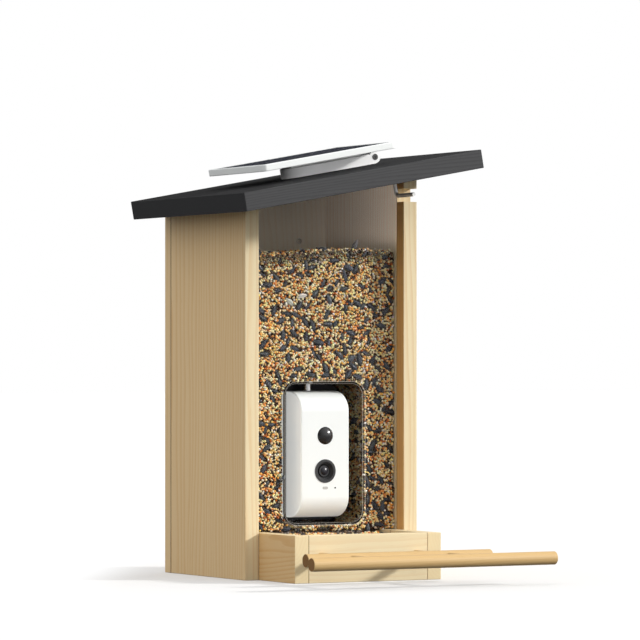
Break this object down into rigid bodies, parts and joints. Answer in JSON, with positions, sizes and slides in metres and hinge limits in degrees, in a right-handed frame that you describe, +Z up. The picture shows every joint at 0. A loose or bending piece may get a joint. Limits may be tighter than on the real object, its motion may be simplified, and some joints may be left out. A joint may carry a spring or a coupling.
{
  "type": "smart bird feeder",
  "caption": "Wooden hopper bird feeder with clear front, recessed camera module, perch, sloped hinged roof and tilting solar panel.",
  "frame": {"origin": "centre of the flat underside of the body, on the surface that the feeder stands on", "axes": "+Z up, +X to the right as seen from the front, +Y to the back; the perch points to -Y"},
  "size_m": [0.2633, 0.3745, 0.423],
  "materials": {
    "pine": "planed pale pine, clear matt",
    "perch_wood": "sanded dowel, satin",
    "roof_wood": "charcoal stain with brushed grain, satin",
    "zinc_steel": "zinc plated",
    "hook_steel": "nickel plated wire",
    "clear_plastic": "clear, polished",
    "seed": "loose mixed bird seed",
    "white_plastic": "white, fine satin gloss",
    "bracket_plastic": "light grey, satin",
    "black_plastic": "black, gloss",
    "lens_glass": "coated lens",
    "seal_rubber": "soft seal",
    "circuit_board": "solder resist",
    "cell_wrap": "sleeved battery cell",
    "insert_brass": "turned",
    "solar_cell": "dark cells"
  },
  "bodies": {
    "body": {"left_side_panel": "pine", "right_side_panel": "pine", "back_panel": "pine", "floor_panel": "pine", "tray_side_left": "pine", "tray_side_right": "pine", "tray_front_board": "pine", "perch_rod_left": "perch_wood", "perch_rod_right": "perch_wood", "perch_bar_short": "perch_wood", "perch_bar_long": "perch_wood", "back_screws": "zinc_steel", "tray_screws": "zinc_steel", "floor_screws": "zinc_steel", "tray_dowels": "perch_wood", "hinge_leaves_fixed": "zinc_steel", "hinge_pins": "zinc_steel", "hinge_screws_fixed": "zinc_steel", "clear_window": "clear_plastic", "hopper_seed": "seed", "tray_seed": "seed", "camera_front_cover": "white_plastic", "camera_rear_cover": "white_plastic", "cover_seal": "seal_rubber", "cover_screws": "zinc_steel", "motion_sensor_dome": "black_plastic", "motion_sensor": "zinc_steel", "lens_bezel": "black_plastic", "lens_barrel": "black_plastic", "lens_glass": "lens_glass", "indicator_window": "white_plastic", "microphone": "black_plastic", "main_board": "circuit_board", "battery_cells": "cell_wrap", "battery_cradle": "black_plastic", "charging_socket": "zinc_steel", "charging_socket_cover": "seal_rubber", "power_switch": "black_plastic", "thread_insert": "insert_brass", "mount_sleeve": "zinc_steel", "mount_screw": "zinc_steel", "camera_dock": "black_plastic", "dock_screws": "zinc_steel", "dock_nuts": "zinc_steel"},
    "roof": {"roof_board": "roof_wood", "hinge_leaves_roof": "zinc_steel", "hinge_screws_roof": "zinc_steel", "solar_base": "bracket_plastic", "solar_base_screws": "zinc_steel", "pivot_screw": "zinc_steel", "pivot_nut": "zinc_steel"},
    "solar_panel": {"solar_frame": "white_plastic", "solar_cells": "solar_cell", "solar_cover": "clear_plastic", "solar_arm": "bracket_plastic", "solar_arm_screws": "zinc_steel", "junction_box": "black_plastic"},
    "latch": {"latch_hook": "hook_steel"},
    "button": {"power_button": "black_plastic"}
  },
  "joints": [
    {"name": "roof_hinge", "type": "hinge", "parent": "body", "child": "roof", "pos_m": [-0.095, 0.0873, 0.355], "axis": [-0.9839, 0, -0.1788], "range_deg": [0, 110]},
    {"name": "solar_tilt", "type": "hinge", "parent": "roof", "child": "solar_panel", "pos_m": [0.06986, -0.0295, 0.40976], "axis": [0, 1, 0], "range_deg": [0, 75]},
    {"name": "latch_swivel", "type": "hinge", "parent": "roof", "child": "latch", "pos_m": [0.07323, -0.078, 0.38557], "axis": [-0.1788, 0, 0.9839], "range_deg": [-100, 80]},
    {"name": "power_button_press", "type": "slide", "parent": "body", "child": "button", "axis": [-1, 0, 0], "range_m": [0, 0.0006], "stiffness_N_per_m": 400}
  ]
}
